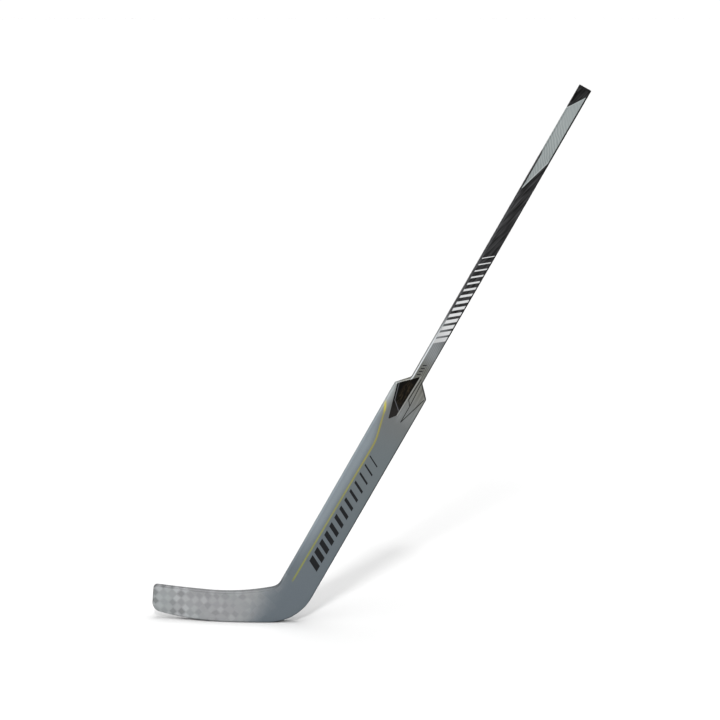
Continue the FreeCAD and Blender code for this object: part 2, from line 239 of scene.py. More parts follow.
# Silver paint; PAINTED is the clear coat over it on the paddle and the blade
PAINTED = {"Coat_Weight": 0.12, "Coat_Roughness": 0.14, "Specular_IOR_Level": 0.2}
PAINT_ROUGHNESS = 0.40
PAINT_METAL = 0.55

# Camera, fitted to the photograph
CAMERA_AIM = Vector((0.2825, 0.0, 0.6765))
CAMERA_DISTANCE = 4.5
CAMERA_PITCH = math.radians(12.0)
SENSOR = 36.0
FOCAL_PIXELS = 1833.5
FRAME_PIXELS = 720.0

# Lights and floor
LIT_CENTRE = (0.3, 0.0, 0.6)
KEY = {"where": (0.4, -4.0, 4.6), "strength": 2.1, "angle": math.radians(7.0)}
OVERHEAD = {"where": (0.8, 0.1, 5.6), "strength": 3.9, "angle": math.radians(60.0)}
TOE_PANEL = {"where": (-2.3, -1.1, 1.1), "strength": 20.0, "size": 2.0}
REAR_FILL = {"where": (1.8, 4.0, 1.2), "strength": 0.75, "angle": math.radians(40.0), "glossy": False}
FLOOR_HALF = 60.0
FLOOR_SEEN = 0.545
FLOOR_BOUNCE = 0.345
AMBIENT = 0.12
BACKDROP = 1.05


def paint(red, green, blue):
    """Linear colour of an sRGB paint shade, 0 to 255."""
    shades = np.array([red, green, blue]) / 255.0
    linear = np.where(shades <= 0.04045, shades / 12.92, ((shades + 0.055) / 1.055) ** 2.4)
    return (*linear.tolist(), 1.0)


# Colours
SILVER = (
    (0.05, paint(112, 121, 128)),
    (0.16, paint(112, 121, 127)),
    (0.48, paint(117, 125, 128)),
    (0.60, paint(123, 126, 126)),
    (0.68, paint(120, 120, 114)),
    (0.72, paint(115, 116, 111)),
    (0.77, paint(145, 149, 151)),
)
YELLOW = (
    (0.10, paint(146, 149, 66)),
    (0.30, paint(150, 150, 80)),
    (0.54, paint(162, 154, 62)),
    (0.575, paint(156, 150, 76)),
    (0.60, paint(214, 202, 46)),
)
# Painted highlight for the toe-side edge, and painted shade for the heel-side edge
SILVER_PAINTED_HIGHLIGHT = paint(218, 222, 225)
SILVER_PAINTED_SHADE = paint(40, 41, 42)
# Bevel silver, part paint fade and part painted highlight; then a painted highlight for its corner under the
# shoulder
BEVEL_SILVER_AND_HIGHLIGHT = paint(150, 160, 167)
HIGHLIGHT_SILVER = paint(206, 213, 216)
CARBON_BLACK = paint(43, 43, 44)
# Painted highlight for the carbon's toe-side edge
CARBON_PAINTED_HIGHLIGHT = paint(76, 77, 79)
BAR_WHITE = paint(214, 215, 216)
BAR_DARK = paint(18, 20, 23)
TICK_DARK = paint(22, 24, 30)
# Dark shoulder lines, partly painted shade along the recess steps
LINE_DARK_AND_STEP_SHADE = paint(40, 40, 39)
# Pale painted highlight along the spine
HIGHLIGHT_PALE = paint(170, 170, 166)
TACKY_GREY = paint(153, 160, 160)
# Painted highlight inside the tacky stretch's slanted edges
TACKY_HIGHLIGHT_GREY = paint(178, 184, 184)
TOW_NEUTRAL = paint(157, 158, 160)
TOW_COOL = paint(155, 159, 160)
RUBBER_BLACK = paint(8, 7, 5)
RUBBER_WORN = paint(45, 38, 28)
RUBBER_FOOT = paint(36, 34, 33)
# Painted highlight for the grip's crease
RUBBER_CREASE_HIGHLIGHT = paint(112, 113, 118)
PLUG_BLACK = paint(25, 25, 26)
FOAM_CREAM = paint(222, 209, 168)
RAIL_BLACK = paint(48, 48, 50)
RESIN_TAN = paint(150, 136, 104)
WHITE = (1.0, 1.0, 1.0, 1.0)


# Node trees as formulas


def feed(tree, value, socket):
    """Links a field to a socket, or sets a plain value on it."""
    if isinstance(value, Field):
        tree.links.new(value.socket, socket)
    else:
        socket.default_value = value


def place(tree, kind, inputs=(), **settings):
    """Adds a node with its settings and inputs."""
    node = tree.nodes.new(kind)
    for name, value in settings.items():
        setattr(node, name, value)
    for name, value in dict(inputs).items():
        feed(tree, value, node.inputs[name])
    return node


class Field:
    """A value that changes over a surface. Arithmetic on it adds Math nodes to its tree."""

    def __init__(self, tree, socket):
        self.tree = tree
        self.socket = socket

    def math(self, operation, *others):
        """Math node on this field and the other values."""
        inputs = enumerate((self, *others))
        return Field(self.tree, place(self.tree, "ShaderNodeMath", inputs, operation=operation).outputs[0])

    def __add__(self, other):
        return self.math("ADD", other)

    def __sub__(self, other):
        return self.math("SUBTRACT", other)

    def __rsub__(self, other):
        return self.math("MULTIPLY_ADD", -1.0, other)

    def __mul__(self, other):
        return self.math("MULTIPLY", other)

    def __truediv__(self, other):
        return self.math("DIVIDE", other)

    __radd__ = __add__
    __rmul__ = __mul__


def rise(field, low, high):
    """0 at low, 1 at high and a smooth rise between; low may be the larger."""
    inputs = {"Value": field, "From Min": low, "From Max": high}
    node = place(field.tree, "ShaderNodeMapRange", inputs, interpolation_type="SMOOTHSTEP")
    return Field(field.tree, node.outputs["Result"])


def band(field, low, high, soft):
    """1 between low and high, with soft edges."""
    return rise(field, low - soft, low + soft) * rise(field, high + soft, high - soft)


def mix(mask, under, over):
    """Colour over laid on colour under where the mask is 1."""
    tree = mask.tree
    node = place(tree, "ShaderNodeMix", data_type="RGBA")
    feed(tree, mask, node.inputs[0])
    feed(tree, under, node.inputs[6])
    feed(tree, over, node.inputs[7])
    return Field(tree, node.outputs[2])


def shade(colour, amount):
    """Colour made lighter or darker by a field around 0."""
    tree = amount.tree
    node = place(tree, "ShaderNodeVectorMath", {"Scale": amount + 1.0}, operation="SCALE")
    feed(tree, colour if isinstance(colour, Field) else colour[:3], node.inputs[0])
    return Field(tree, node.outputs[0])


def vector(x, y, z):
    """Three fields as one vector."""
    tree = next(part.tree for part in (x, y, z) if isinstance(part, Field))
    return Field(tree, place(tree, "ShaderNodeCombineXYZ", {"X": x, "Y": y, "Z": z}).outputs[0])


def split(tree, whole):
    """One vector as three fields."""
    return [Field(tree, socket) for socket in place(tree, "ShaderNodeSeparateXYZ", {"Vector": whole}).outputs]


def coordinate(tree, name):
    """Object place or surface normal of the shaded point."""
    return Field(tree, place(tree, "ShaderNodeTexCoord").outputs[name])


def noise(where, scale=1.0, detail=2.0):
    """Soft noise around 0, from -0.5 to 0.5."""
    inputs = {"Vector": where, "Scale": scale, "Detail": detail}
    return Field(where.tree, place(where.tree, "ShaderNodeTexNoise", inputs).outputs[0]) - 0.5


def cells(where, scale):
    """Random value from 0 to 1 in each small cell."""
    inputs = {"Vector": where, "Scale": scale}
    node = place(where.tree, "ShaderNodeTexVoronoi", inputs)
    parts = place(where.tree, "ShaderNodeSeparateColor", {"Color": Field(where.tree, node.outputs["Color"])})
    return Field(where.tree, parts.outputs[0])


def blend_along(field, stops):
    """Colour that passes through (position, colour) stops as the field grows."""
    low, high = stops[0][0], stops[-1][0]
    node = place(field.tree, "ShaderNodeValToRGB", {"Fac": (field - low) / (high - low)})
    ramp = node.color_ramp
    ramp.interpolation = "EASE"
    for position, colour in stops[1:-1]:
        ramp.elements.new((position - low) / (high - low)).color = colour
    ramp.elements[0].color = stops[0][1]
    ramp.elements[len(stops) - 1].color = stops[-1][1]
    return Field(field.tree, node.outputs["Color"])


def line(along, across, start, end, width):
    """Mask of a thin straight line between two (along, across) places."""
    length = math.dist(start, end)
    ahead = ((end[0] - start[0]) / length, (end[1] - start[1]) / length)
    from_start = along - start[0]
    aside = across - start[1]
    run = from_start * ahead[0] + aside * ahead[1]
    off = aside * ahead[0] - from_start * ahead[1]
    return band(run, 0.0, length, width / 4) * band(off, -width / 2, width / 2, width / 4)


def new_group(name, inputs, outputs):
    """Empty node group with named sockets: returns its tree and its inputs as fields."""
    tree = bpy.data.node_groups.new(name, "ShaderNodeTree")
    for label in inputs:
        tree.interface.new_socket(label, in_out="INPUT", socket_type="NodeSocketFloat")
    for label, kind in outputs.items():
        tree.interface.new_socket(label, in_out="OUTPUT", socket_type="NodeSocket" + kind)
    entry = tree.nodes.new("NodeGroupInput")
    return tree, [Field(tree, entry.outputs[label]) for label in inputs]


def close_group(tree, results):
    """Feeds a group's outputs."""
    leave = tree.nodes.new("NodeGroupOutput")
    for label, value in results.items():
        feed(tree, value, leave.inputs[label])
    return tree


def use(tree, group, inputs=()):
    """Places a group in a tree: returns its outputs as fields."""
    node = place(tree, "ShaderNodeGroup", node_tree=group)
    for label, value in dict(inputs).items():
        feed(tree, value, node.inputs[label])
    return [Field(tree, socket) for socket in node.outputs]


# Effects, as node groups


def make_stick_place():
    """Group: where a point lies in the stick's own axes."""
    tree, _ = new_group("stick_place", (), {"Along": "Float", "Across": "Float", "Deep": "Float"})
    turned = place(tree, "ShaderNodeMapping", {"Vector": coordinate(tree, "Object")})
    turned.inputs["Location"].default_value = -(TURN @ HEEL)
    turned.inputs["Rotation"].default_value = TURN.to_euler()
    across, deep, along = split(tree, Field(tree, turned.outputs[0]))
    return close_group(tree, {"Along": along, "Across": across, "Deep": deep})


def make_edge_light_masks():
    """Group: masks of rounded edges, told by the surface normal, for painted highlights and painted shade.

    The first covers faces that look up or to the toe, for painted shade on the blade. The others are lines along
    the two sides of the stick: two on the toe side, the second right on the outline, and one on the heel side,
    wider on the shoulder. The toe-side line takes painted highlights, and painted shade on the tacky grey; the
    outline and the heel-side line take painted shade.
    """
    labels = ("Blade Painted Shade", "Toe Edge Light", "Toe Outline Shade", "Heel Edge Shade")
    tree, _ = new_group("edge_light_masks", (), dict.fromkeys(labels, "Float"))
    x, y, z = split(tree, coordinate(tree, "Normal"))
    outward = x * math.cos(LEAN) - z * math.sin(LEAN)
    upward = x * math.sin(LEAN) + z * math.cos(LEAN)
    facing = y.math("ABSOLUTE")
    slope = rise(upward, *SLOPE_UP)
    toe_half = rise(outward, -SIDEWAYS[0], -SIDEWAYS[1])
    toe_side = band(facing, *TOE_SIDE_FACING) * toe_half * (1.0 - slope)
    outline = band(facing, *TOE_OUTLINE_FACING) * toe_half
    heel_line = band(facing, *HEEL_SIDE_FACING)
    heel_slope = band(facing, *HEEL_SLOPE_FACING)
    heel_side = (heel_line + (heel_slope - heel_line) * slope) * rise(outward, *SIDEWAYS)
    # Mask for painted shade on the blade's upward and toe-end faces
    rim = rise(z, *BLADE_SHADE_UP).math("MAXIMUM", rise(x, *BLADE_SHADE_TOEWARD))
    return close_group(tree, dict(zip(labels, (rim, toe_side, outline, heel_side))))


def make_clear_coat_marks():
    """Group: fine hairline scuffs and slow cloudiness in a clear coat."""
    tree, _ = new_group("clear_coat_marks", (), {"Scuff": "Float", "Cloud": "Float"})
    along, across, deep = use(tree, stick_place)
    fine, long = SCUFF_LINES
    strokes = noise(vector(across * fine, deep * fine, along * long), detail=3.0)
    gate = noise(vector(across, deep, along), scale=38.0, detail=1.0)
    scuff = rise(strokes, *SCUFF_CUT) * rise(gate, *SCUFF_GATE)
    cloud = noise(vector(across, deep, along), scale=14.0, detail=3.0)
    return close_group(tree, {"Scuff": scuff, "Cloud": cloud})


def make_silver_ground():
    """Group: the metallic silver paint, slate at the heel and lighter up to the shaft, with fine flake.

    A panel on the heel half of the neck is brushed along the stick, and slanted hatching starts near its top.
    A painted highlight lies on the toe-side edge from the shoulders up, and painted shade darkens the heel-side
    edge.
    """
    tree, _ = new_group("silver_ground", (), {"Color": "Color", "Flake": "Float"})
    along, across, deep = use(tree, stick_place)
    _, toe_edge_light_and_shade, _, heel_edge_shade = use(tree, edge_light_masks)
    ground = blend_along(along, SILVER)
    slanted = along * math.cos(HATCH_SLANT) + across * math.sin(HATCH_SLANT)
    panel = rise(across, *NECK_PANEL_EDGE) * band(along, *NECK_PANEL)
    hatch = (slanted * (2 * math.pi / HATCH_PITCH)).math("SINE") * rise(along, *HATCH_START)
    brushed = noise(vector(across * BRUSH_LINES[0], 0.0, along * BRUSH_LINES[1]), detail=1.0)
    flake = cells(vector(across, deep, along), FLAKE_CELLS) - 0.5
    tone = flake * 0.10 + hatch * (panel * 0.2 + 0.10) + brushed * panel * 1.8
    tone = tone + panel * rise(along, *NECK_PANEL_LIGHT) * 0.22
    # Painted highlight on the toe-side edge, then painted shade on the heel-side edge
    colour = mix(toe_edge_light_and_shade * rise(along, *HIGHLIGHT_EDGE_START), shade(ground, tone), SILVER_PAINTED_HIGHLIGHT)
    colour = mix(heel_edge_shade * rise(along, *SHADED_EDGE_START) * 0.9, colour, SILVER_PAINTED_SHADE)
    return close_group(tree, {"Color": colour, "Flake": flake})


def make_carbon_streaks():
    """Group: unidirectional carbon under gloss: long slanted streaks and fine fibre lines."""
    tree, _ = new_group("carbon_streaks", (), {"Shade": "Float", "Fibre": "Float"})
    along, across, deep = use(tree, stick_place)
    around = across + deep
    run = along * math.cos(CARBON_SLANT) + around * math.sin(CARBON_SLANT)
    off = around * math.cos(CARBON_SLANT) - along * math.sin(CARBON_SLANT)
    broad = noise(vector(off * STREAKS[0], 0.0, run * STREAKS[1]), detail=1.5)
    fibre = noise(vector(off * FIBRES[0], 0.0, run * FIBRES[1]), detail=2.0)
    return close_group(tree, {"Shade": broad, "Fibre": fibre})


def make_graded_bars():
    """Group: a row of slanted bars that grow thinner up the stick."""
    names = ("Along", "Across", "Start", "End", "Count", "Slant", "Thick", "Thin", "Low", "High")
    tree, values = new_group("graded_bars", names, {"Mask": "Float"})
    along, across, start, end, count, slant, thick, thin, low, high = values
    pitch = (end - start) / count
    step = (along + across * slant - start) / pitch
    number = step.math("FLOOR")
    share = number / (count - 1.0)
    width = thick + (thin - thick) * share
    near = (step.math("FRACT") - 0.5).math("ABSOLUTE") * pitch
    bar = rise(near, width / 2 + PRINT_SOFT, width / 2 - PRINT_SOFT)
    # The number is whole, so each rise is a step between two bars
    inside = rise(number, -0.6, -0.4) * rise(number, count - 0.4, count - 0.6)
    return close_group(tree, {"Mask": bar * inside * band(across, low, high, PRINT_SOFT)})


def make_pinstripe():
    """Group: the yellow pinstripe up the bevel's crease, on the front and rear faces only.

    It turns out to the shoulder and ends in a bright tip. Off is the distance across from its middle.
    """
    tree, _ = new_group("pinstripe", (), {"Color": "Color", "Mask": "Float", "Off": "Float"})
    along, across, _ = use(tree, stick_place)
    slope = (STRIPE_HIGH[1] - STRIPE_LOW[1]) / (STRIPE_HIGH[0] - STRIPE_LOW[0])
    crease = (along - STRIPE_LOW[0]) * slope + STRIPE_LOW[1]
    outward = (along - STRIPE_HIGH[0]).math("SMOOTH_MAX", 0.0, STRIPE_TURN_SOFT) * STRIPE_TURN
    outward = outward + (along - STRIPE_TIP).math("MAXIMUM", 0.0) * STRIPE_TIP_TURN
    off = across - crease + outward
    tip = rise(along, STRIPE_TIP + STRIPE_TIP_SOFT[0], STRIPE_TIP + STRIPE_TIP_SOFT[1])
    half_width = tip * STRIPE_TIP_WIDER + STRIPE_WIDTH / 2
    mask = rise(off.math("ABSOLUTE") - half_width, STRIPE_WIDTH / 2, -STRIPE_WIDTH / 2)
    mask = mask * rise(along, STRIPE_START, STRIPE_START + STRIPE_START_SOFT)
    mask = mask * rise(along, STRIPE_END, STRIPE_END - STRIPE_END_SOFT)
    facing = split(tree, coordinate(tree, "Normal"))[1].math("ABSOLUTE")
    mask = mask * rise(facing, *STRIPE_FACING)
    yellow = blend_along(along, YELLOW)
    return close_group(tree, {"Color": yellow, "Mask": mask * STRIPE_COVER, "Off": off})


def make_neck_ticks():
    """Group: a ladder of short level dashes at the foot of the shaft."""
    tree, _ = new_group("neck_ticks", (), {"Mask": "Float"})
    along, across, _ = use(tree, stick_place)
    mask = along * 0.0
    for middle in TICKS:
        start, end = ([m + way * r for m, r in zip(middle, TICK_REACH)] for way in (-1, 1))
        mask = mask.math("MAXIMUM", line(along, across, start, end, TICK_WIDTH))
    return close_group(tree, {"Mask": mask})


stick_place = make_stick_place()
edge_light_masks = make_edge_light_masks()
clear_coat_marks = make_clear_coat_marks()
silver_ground = make_silver_ground()
carbon_streaks = make_carbon_streaks()
graded_bars = make_graded_bars()
pinstripe = make_pinstripe()
neck_ticks = make_neck_ticks()


# Finishes


def new_material(name, **constants):
    """Material whose shader takes the constant values: returns its node tree."""
    material = bpy.data.materials.new(name)
    material.use_nodes = True
    shader = material.node_tree.nodes["Principled BSDF"]
    for label, value in constants.items():
        shader.inputs[label.replace("_", " ")].default_value = value
    return material.node_tree


def dress(tree, colour, roughness, height, metallic=0.0):
    """Feeds a finish to the material's shader; height is in metres."""
    shader = tree.nodes["Principled BSDF"]
    feed(tree, colour, shader.inputs["Base Color"])
    feed(tree, roughness, shader.inputs["Roughness"])
    feed(tree, metallic, shader.inputs["Metallic"])
    bump = place(tree, "ShaderNodeBump", {"Height": height, "Distance": 1.0})
    tree.links.new(bump.outputs["Normal"], shader.inputs["Normal"])


def shaft_finish():
    """Silver foot, black carbon with white bars, tacky grey stretch and black butt, with painted highlights on
    the toe-side edge and painted shade on the heel-side edge and the outline.
    """
    tree = new_material("shaft_finish", Coat_Weight=0.10, Coat_Roughness=0.10, Specular_IOR_Level=0.15)
    along, across, _ = use(tree, stick_place)
    silver, flake = use(tree, silver_ground)
    streak, fibre = use(tree, carbon_streaks)
    scuff, cloud = use(tree, clear_coat_marks)
    _, toe_edge_light_and_shade, outline, heel_edge_shade = use(tree, edge_light_masks)
    # Painted shade darkens the heel-side edge and the toe outline
    tone = streak * 6.0 + fibre * 0.7 - (heel_edge_shade + outline) * 0.6
    tone = tone - rise(along, TACKY_TOP - BUTT_SHADE, TACKY_TOP) * 0.75
    carbon = shade(CARBON_BLACK, tone.math("MAXIMUM", -0.85))
    # Painted highlight on the toe-side edge of the black
    carbon_highlight = toe_edge_light_and_shade * rise(along, TACKY_FOOT, TACKY_FOOT - TOE_HIGHLIGHT_END) * 0.6
    carbon = mix(carbon_highlight, carbon, CARBON_PAINTED_HIGHLIGHT)
    fade = rise(along + across * SILVER_END_SLANT, *SILVER_END)
    colour = mix(fade, silver, carbon)
    white = use(tree, graded_bars, {"Along": along, "Across": across, **SHAFT_BARS})[0]
    colour = mix(white, colour, BAR_WHITE)
    above = along - across * TACKY_FOOT_SLANT - TACKY_FOOT
    below = TACKY_TOP - (along - across * TACKY_TOP_SLANT)
    unwrapped = rise(along, TACKY_WRAP + TACKY_WRAP_SOFT, TACKY_WRAP - TACKY_WRAP_SOFT)
    toe_side = across + HALF_SHAFT + TACKY_OVERLAP - unwrapped * (TACKY_TOE_MARGIN + TACKY_OVERLAP)
    heel_side = HALF_SHAFT - TACKY_HEEL_MARGIN - across
    tacky = rise(above, 0.0, TACKY_END_SOFT) * rise(below, 0.0, TACKY_END_SOFT)
    tacky = tacky * rise(toe_side, -PRINT_SOFT, PRINT_SOFT) * rise(heel_side, -PRINT_SOFT, PRINT_SOFT)
    # Painted highlight inside the slanted edges
    tacky_highlight = rise(above.math("MINIMUM", below * TACKY_HIGHLIGHT_TOP), *TACKY_HIGHLIGHT) * tacky
    waver = noise(vector(across, 0.0, along), scale=45.0, detail=1.0) * TACKY_HATCH_WAVER
    slanted = along * TACKY_HATCH_SLANT + across + waver
    hatch = (slanted * (2 * math.pi / TACKY_HATCH)).math("SINE")
    hatch = hatch * (rise(along, *TACKY_HATCH_FADE) * 0.7 + 0.3)
    # Painted shade on the grey's toe-side edge and outline
    slow = rise(along, *TACKY_LIGHTER) * 0.12 - 0.13 - toe_edge_light_and_shade * 0.25 - outline * 0.6
    grey = mix(tacky_highlight, shade(TACKY_GREY, hatch * 0.14 + cloud * 0.22 + slow), TACKY_HIGHLIGHT_GREY)
    colour = mix(tacky, colour, grey)
    colour = mix(use(tree, neck_ticks)[0], colour, TICK_DARK)
    roughness = 0.34 + tacky * 0.28 + scuff * 0.15 + cloud * 0.08
    height = tacky * hatch * TACKY_RELIEF + fibre * fade * FIBRE_RELIEF
    height = height + white * PRINT_RELIEF + flake * FLAKE_RELIEF
    dress(tree, colour, roughness, height, rise(fade, 1.0, 0.0) * PAINT_METAL)


def paddle_finish():
    """Silver paint with a lighter bevel, part paint fade and part painted highlight, and a painted highlight in
    the bevel's corner under the shoulder; a yellow pinstripe on its crease, dark bars, dark shoulder lines that
    are partly painted shade along the recess steps, and a pale painted highlight beside the finger grip.
    """
    tree = new_material("paddle_finish", **PAINTED)
    along, across, _ = use(tree, stick_place)
    silver, flake = use(tree, silver_ground)
    scuff, cloud = use(tree, clear_coat_marks)
    yellow, stripe, off_stripe = use(tree, pinstripe)
    # Lighter bevel: part paint fade, part painted highlight
    bevel = rise(off_stripe, *BEVEL_OFF_STRIPE) * rise(along, *BEVEL_START)
    colour = mix(bevel * 0.85, silver, shade(BEVEL_SILVER_AND_HIGHLIGHT, flake * 0.10))
    # Painted highlight in the bevel's corner under the shoulder
    corner_highlight = rise(across, *HIGHLIGHT_ACROSS) * band(along, *HIGHLIGHT_ALONG)
    colour = mix(corner_highlight * 0.8, colour, HIGHLIGHT_SILVER)
    dark = use(tree, graded_bars, {"Along": along, "Across": across, **PADDLE_BARS})[0]
    colour = mix(dark, colour, BAR_DARK)
    colour = mix(stripe, colour, yellow)
    # Dark lines, partly painted shade along the recess steps
    for ends in SHOULDER_LINES:
        colour = mix(line(along, across, *ends, SHOULDER_LINE_WIDTH), colour, LINE_DARK_AND_STEP_SHADE)
    # Pale painted highlight along the spine
    colour = mix(line(along, across, *SPINE_HIGHLIGHT, SPINE_HIGHLIGHT_WIDTH), colour, HIGHLIGHT_PALE)
    colour = mix(use(tree, neck_ticks)[0], colour, TICK_DARK)
    roughness = PAINT_ROUGHNESS + scuff * 0.15 + cloud * 0.08
    height = stripe * STRIPE_RELIEF + dark * PRINT_RELIEF + cloud * COAT_RELIEF + flake * FLAKE_RELIEF
    dress(tree, colour, roughness, height, PAINT_METAL - dark * 0.5 - stripe * 0.3)


def blade_finish():
    """Slate paint at the heel that fades into a soft chequer of spread tows.

    The tows run both ways at 45 degrees. First and second are the two ways, in widths of a tow, and over is 1
    where the tow that runs along the second lies on top. Painted shade darkens the faces that look up or to the
    toe.
    """
    tree = new_material("blade_finish", **PAINTED)
    silver, flake = use(tree, silver_ground)
    scuff, cloud = use(tree, clear_coat_marks)
    yellow, stripe, _ = use(tree, pinstripe)
    blade_shade_mask = use(tree, edge_light_masks)[0]
    along = use(tree, stick_place)[0]
    here = coordinate(tree, "Object")
    x, _, z = split(tree, here)
    stray = rise(x, *TOW_STRAY) * 0.9 + 0.35
    first = (x + z) / (TOW * math.sqrt(2.0)) + noise(here, scale=26.0, detail=1.0) * stray
    second = (x - z) / (TOW * math.sqrt(2.0)) + noise(here, scale=31.0, detail=1.0) * stray
    number = vector(first.math("FLOOR"), second.math("FLOOR"), 0.0)
    over = ((first.math("FLOOR") + second.math("FLOOR")) * 0.5).math("FRACT") * 2.0
    chance = Field(tree, place(tree, "ShaderNodeTexWhiteNoise", {"Vector": number}).outputs["Value"]) - 0.5
    long, fine = TOW_FIBRES
    fibre_first = noise(vector(first * long, second * fine, 0.0), detail=2.0)
    fibre_second = noise(vector(first * fine, second * long, 5.0), detail=2.0)
    fibre = fibre_first + (fibre_second - fibre_first) * over
    mid_first = (first.math("FRACT") - 0.5).math("ABSOLUTE") * 2.0
    mid_second = (second.math("FRACT") - 0.5).math("ABSOLUTE") * 2.0
    inside = rise(mid_first.math("MAXIMUM", mid_second), 1.0, 0.6)
    aside = mid_second + (mid_first - mid_second) * over
    crown = 1.0 - aside.math("POWER", 4.0)
    patches = noise(here, scale=17.0, detail=2.0)
    ragged = chance * RAGGED_BY_TOW + patches * RAGGED_BY_PATCH
    weave = rise(x - (z - WEAVE_MIDDLE) * WEAVE_FADE_TILT + ragged, *WEAVE_FADE)
    contrast = rise(x, *WEAVE_CLEAR) * 0.6 + 0.4
    regular = (over - 0.5) * (rise(x, *WEAVE_REGULAR) * 0.14 + 0.22)
    chequer = (regular + chance * 0.34) * contrast * inside + fibre * 0.10 + patches * 0.16
    tint = noise(here, scale=9.0, detail=1.0)
    tows = mix(rise(tint, -0.15, 0.15), TOW_NEUTRAL, TOW_COOL)
    slate = mix(stripe, silver, yellow)
    # Painted shade on faces that look up or to the toe
    rim = blade_shade_mask * rise(along, *BLADE_SHADE_END)
    colour = shade(mix(weave, slate, shade(tows, chequer)), rim * -0.56)
    roughness = PAINT_ROUGHNESS + rim * 0.2 + scuff * 0.15 + cloud * 0.08 - crown * weave * 0.05
    height = weave * (crown * TOW_RELIEF + fibre * TOW_FIBRE_RELIEF)
    height = height + cloud * COAT_RELIEF + flake * FLAKE_RELIEF
    dress(tree, colour, roughness, height, PAINT_METAL - weave * 0.3)


def grip_finish():
    """Black moulded rubber, browned by the hand, greyer at its foot and with a painted highlight on the crease."""
    tree = new_material("grip_finish", Coat_Weight=0.0, Specular_IOR_Level=0.08)
    along, across, deep = use(tree, stick_place)
    crease = Field(tree, place(tree, "ShaderNodeAttribute", attribute_name="crease").outputs["Fac"])
    where = vector(along, across, deep)
    grain = noise(where, scale=2600.0, detail=2.0)
    bloom = noise(where, scale=60.0, detail=3.0)
    long, fine = WORN_FLECKS
    fleck = noise(vector(along * long, across * fine, deep * long), detail=1.0)
    worn = band(along, *WORN_ALONG) * band(across, *WORN_ACROSS)
    black = mix(worn * rise(fleck, -0.14, 0.18), RUBBER_BLACK, RUBBER_WORN)
    black = mix(rise(along, *PAD_FOOT), black, RUBBER_FOOT)
    # Painted highlight on the crease
    colour = mix(crease * 0.7, shade(black, bloom * 0.5 + grain * 0.25), RUBBER_CREASE_HIGHLIGHT)
    dress(tree, colour, 0.62 + grain * 0.2 + bloom * 0.15, grain * GRAIN_RELIEF)


def end_plug_finish():
    """Black moulded plastic with a fine spark-eroded grain."""
    tree = new_material("end_plug_finish", Coat_Weight=0.0, Specular_IOR_Level=0.2)
    along, across, deep = use(tree, stick_place)
    where = vector(along, across, deep)
    grain = noise(where, scale=1900.0, detail=3.0)
    handled = noise(where, scale=120.0, detail=2.0)
    colour = shade(PLUG_BLACK, handled * 0.35 + grain * 0.2)
    dress(tree, colour, 0.46 + handled * 0.25, grain * GRAIN_RELIEF)


def foam_finish():
    """Cut closed-cell foam: pale, with fine pits."""
    tree = new_material("foam_finish", Coat_Weight=0.0)
    along, across, deep = use(tree, stick_place)
    where = vector(along, across, deep)
    pits = cells(where, FOAM_PITS)
    tone = noise(where, scale=45.0, detail=3.0)
    colour = shade(FOAM_CREAM, pits * 0.14 + tone * 0.2)
    dress(tree, colour, 0.85 + tone * 0.1, pits * FOAM_RELIEF)


def rail_finish():
    """Matt pultruded carbon: fine lines along the stick."""
    tree = new_material("rail_finish", Coat_Weight=0.0)
    along, across, deep = use(tree, stick_place)
    fine, long = RAIL_FIBRES
    fibre = noise(vector(across * fine, deep * fine, along * long), detail=2.0)
    colour = shade(RAIL_BLACK, fibre * 0.8)
    dress(tree, colour, 0.55 + fibre * 0.2, fibre * PRINT_RELIEF)


def resin_finish():
    """Filled resin: tan, with fine specks."""
    tree = new_material("resin_finish", Coat_Weight=0.0)
    along, across, deep = use(tree, stick_place)
    where = vector(along, across, deep)
    specks = cells(where, RESIN_SPECKS)
    tone = noise(where, scale=80.0, detail=4.0)
    colour = shade(RESIN_TAN, (specks - 0.5) * 0.35 + tone * 0.3)
    dress(tree, colour, 0.6 + tone * 0.2, specks * RESIN_RELIEF)


# Finger grips


def rounded_sides(corners, radius, count):
    """The four sides of a rounded quadrilateral, each an array of points evenly spaced from the middle of one
    corner's arc, along the straight, to the middle of the next corner's arc."""
    corners = np.array(corners)
    arcs = []
    for i, corner in enumerate(corners):
        back = corners[i - 1] - corner
        ahead = corners[(i + 1) % 4] - corner
        back /= np.linalg.norm(back)
        ahead /= np.linalg.norm(ahead)
        half = math.acos(back @ ahead) / 2
        inward = (back + ahead) / np.linalg.norm(back + ahead)
        centre = corner + inward * radius / math.sin(half)
        spokes = [corner + ray * radius / math.tan(half) - centre for ray in (back, ahead)]
        shares = np.linspace(0.0, 1.0, 2 * PAD_ARC_STEPS + 1)[:, None]
        rays = spokes[0] * (1 - shares) + spokes[1] * shares
        arcs.append(centre + rays * radius / np.linalg.norm(rays, axis=1)[:, None])
    sides = []
    for i in range(4):
        path = np.concatenate([arcs[i][PAD_ARC_STEPS:], arcs[(i + 1) % 4][:PAD_ARC_STEPS + 1]])
        reach = np.concatenate([[0.0], np.cumsum(np.linalg.norm(np.diff(path, axis=0), axis=1))])
        even = np.linspace(0.0, reach[-1], count[i % 2])
        sides.append(np.stack([np.interp(even, reach, path[:, k]) for k in (0, 1)], axis=1))
    return sides


def outside(points, start, end):
    """Signed distance of points from the line start-end, above 0 on its left side."""
    ahead = np.subtract(end, start) / math.dist(start, end)
    away = points - np.array(start)
    return away[..., 1] * ahead[0] - away[..., 0] * ahead[1]


def over_shoulder(points, offset):
    """How far a surface lies out from the flat face where it follows the shoulder's rounded edge at an
    offset: a circle of the edge radius plus the offset, about the middle of the rounding."""
    inward = outside(points, (SHOULDER, -HALF_PADDLE), (NECK, -HALF_SHAFT))
    past = np.clip(EDGE_RADIUS - inward, 0.0, None)
    return np.sqrt((EDGE_RADIUS + offset) ** 2 - past**2) - EDGE_RADIUS


